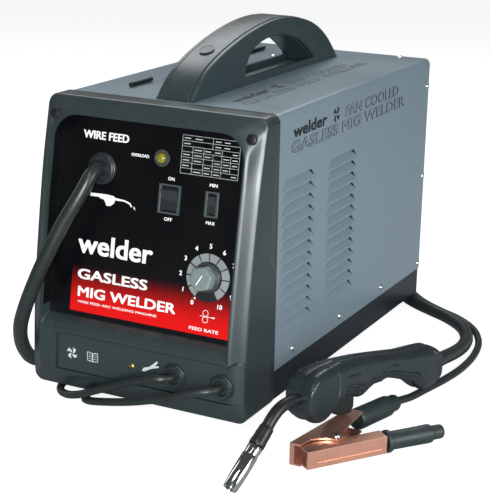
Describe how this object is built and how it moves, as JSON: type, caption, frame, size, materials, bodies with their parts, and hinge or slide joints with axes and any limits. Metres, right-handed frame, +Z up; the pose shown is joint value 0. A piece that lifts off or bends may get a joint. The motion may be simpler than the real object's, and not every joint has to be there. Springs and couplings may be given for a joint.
{
  "type": "mig welding machine",
  "caption": "Portable wire-feed MIG welding machine with a carrying handle, louvred steel case, torch with trigger, earth clamp and leads.",
  "frame": {"origin": "on the floor, under the middle of the machine with its torch and clamp, leaving out the leads", "axes": "+X to the machine's right as it is seen from the front, +Y from the control panel to the rear panel, +Z up"},
  "size_m": [0.4804, 0.7303, 0.3672],
  "materials": {
    "cover_paint": "satin, light steel-blue grey",
    "charcoal_plastic": "fine moulded texture, charcoal",
    "base_paint": "satin, near black navy",
    "panel_print": "printed overlay, black fading to red at the bottom",
    "black_plastic": "moulded black",
    "rubber": "matt black",
    "cable_jacket": "soft, slightly shiny jacket",
    "zinc_steel": "zinc plated",
    "silver_dial": "satin silver ring",
    "knob_grey": "satin grey",
    "amber_lens": "glossy amber lens",
    "steel_laminations": "stacked laminations",
    "copper_wire": "varnished copper wire",
    "aluminium": "extruded",
    "copper_plate": "copper plated",
    "chrome": "polished",
    "grip_rubber": "soft matt sleeve",
    "torch_plastic": "satin black-blue"
  },
  "bodies": {
    "machine": {"cover": "cover_paint", "rear_panel": "cover_paint", "front_bezel": "charcoal_plastic", "lower_fascia": "charcoal_plastic", "handle_core": "charcoal_plastic", "handle_cheek_left": "charcoal_plastic", "handle_cheek_right": "charcoal_plastic", "base_tray": "base_paint", "control_panel": "panel_print", "power_switch_housing": "black_plastic", "range_switch_housing": "black_plastic", "spool_shaft": "black_plastic", "torch_gland": "black_plastic", "earth_gland": "black_plastic", "mains_gland": "black_plastic", "mains_plug": "black_plastic", "fan_motor": "black_plastic", "torch_neck": "black_plastic", "nozzle_sleeve": "black_plastic", "foot_front_left": "rubber", "foot_front_right": "rubber", "foot_rear_left": "rubber", "foot_rear_right": "rubber", "torch_lead": "cable_jacket", "earth_lead": "cable_jacket", "mains_lead": "cable_jacket", "mains_coil": "cable_jacket", "hinge_pin_front": "zinc_steel", "hinge_pin_rear": "zinc_steel", "divider_wall": "zinc_steel", "feeder_plate": "zinc_steel", "feed_motor": "zinc_steel", "wire_guide": "zinc_steel", "clamp_rivet": "zinc_steel", "clamp_spring": "zinc_steel", "dial_plate": "silver_dial", "overload_lamp": "amber_lens", "transformer_core": "steel_laminations", "transformer_winding": "copper_wire", "rectifier": "aluminium", "clamp_arm_cable": "copper_plate", "torch_nozzle": "chrome", "clamp_grip_cable": "grip_rubber", "torch_shell_left": "torch_plastic", "torch_shell_right": "torch_plastic"},
    "side_door": {"side_door": "cover_paint"},
    "door_latch": {"door_latch": "black_plastic"},
    "fan_blades": {"fan_blades": "black_plastic"},
    "power_rocker": {"power_rocker": "black_plastic"},
    "range_rocker": {"range_rocker": "black_plastic"},
    "feed_knob": {"feed_knob": "knob_grey"},
    "drive_roller": {"drive_roller": "zinc_steel"},
    "idler_roller": {"idler_roller": "zinc_steel"},
    "pressure_arm": {"pressure_arm": "black_plastic"},
    "tension_knob": {"tension_knob": "black_plastic"},
    "wire_reel": {"wire_spool": "black_plastic", "wire_winding": "zinc_steel"},
    "torch_trigger": {"torch_trigger": "black_plastic"},
    "clamp_free_side": {"clamp_arm_free": "copper_plate", "clamp_grip_free": "grip_rubber"}
  },
  "joints": [
    {"name": "door_swing", "type": "hinge", "parent": "machine", "child": "side_door", "pos_m": [-0.1586, 0.08744, 0.3074], "axis": [0, 1, 0], "range_deg": [0, 100]},
    {"name": "latch_turn", "type": "hinge", "parent": "side_door", "child": "door_latch", "pos_m": [-0.2049, 0.08744, 0.066], "axis": [-1, 0, 0], "range_deg": [0, 90]},
    {"name": "fan_spin", "type": "hinge", "parent": "machine", "child": "fan_blades", "pos_m": [-0.0466, 0.27244, 0.175], "axis": [0, 1, 0], "continuous": true},
    {"name": "power_press", "type": "hinge", "parent": "machine", "child": "power_rocker", "pos_m": [-0.062, -0.14431, 0.21785], "axis": [-1, 0, 0], "range_deg": [0, 20]},
    {"name": "range_press", "type": "hinge", "parent": "machine", "child": "range_rocker", "pos_m": [-0.0157, -0.14417, 0.21875], "axis": [-1, 0, 0], "range_deg": [0, 20]},
    {"name": "feed_turn", "type": "hinge", "parent": "machine", "child": "feed_knob", "pos_m": [-0.0127, -0.15941, 0.1505], "axis": [0, 0.9868, -0.1618], "range_deg": [0, 300]},
    {"name": "reel_spin", "type": "hinge", "parent": "machine", "child": "wire_reel", "pos_m": [-0.1626, 0.15244, 0.17], "axis": [1, 0, 0], "continuous": true},
    {"name": "roller_spin", "type": "hinge", "parent": "machine", "child": "drive_roller", "pos_m": [-0.1156, -0.01756, 0.168], "axis": [1, 0, 0], "continuous": true},
    {"name": "arm_lift", "type": "hinge", "parent": "machine", "child": "pressure_arm", "pos_m": [-0.1266, 0.04244, 0.184], "axis": [-1, 0, 0], "range_deg": [0, 35]},
    {"name": "idler_spin", "type": "hinge", "parent": "pressure_arm", "child": "idler_roller", "pos_m": [-0.1156, -0.01756, 0.1974], "axis": [1, 0, 0], "continuous": true},
    {"name": "tension_turn", "type": "hinge", "parent": "pressure_arm", "child": "tension_knob", "pos_m": [-0.1271, -0.04456, 0.22], "axis": [0, 0, 1], "range_deg": [-360, 360]},
    {"name": "trigger_press", "type": "hinge", "parent": "machine", "child": "torch_trigger", "pos_m": [0.10925, -0.14678, 0.042], "axis": [0.9792, -0.2031, 0], "range_deg": [0, 5], "stiffness_Nm_per_rad": 0.2, "springref_deg": -6.88},
    {"name": "clamp_open", "type": "hinge", "parent": "machine", "child": "clamp_free_side", "pos_m": [0.1311, -0.17056, 0.0113], "axis": [0, 0, 1], "range_deg": [0, 16], "stiffness_Nm_per_rad": 0.6, "springref_deg": -22.92}
  ],
  "couplings": [
    {"joint": "roller_spin", "follows": "reel_spin", "ratio": 2.8},
    {"joint": "idler_spin", "follows": "reel_spin", "ratio": -3}
  ]
}
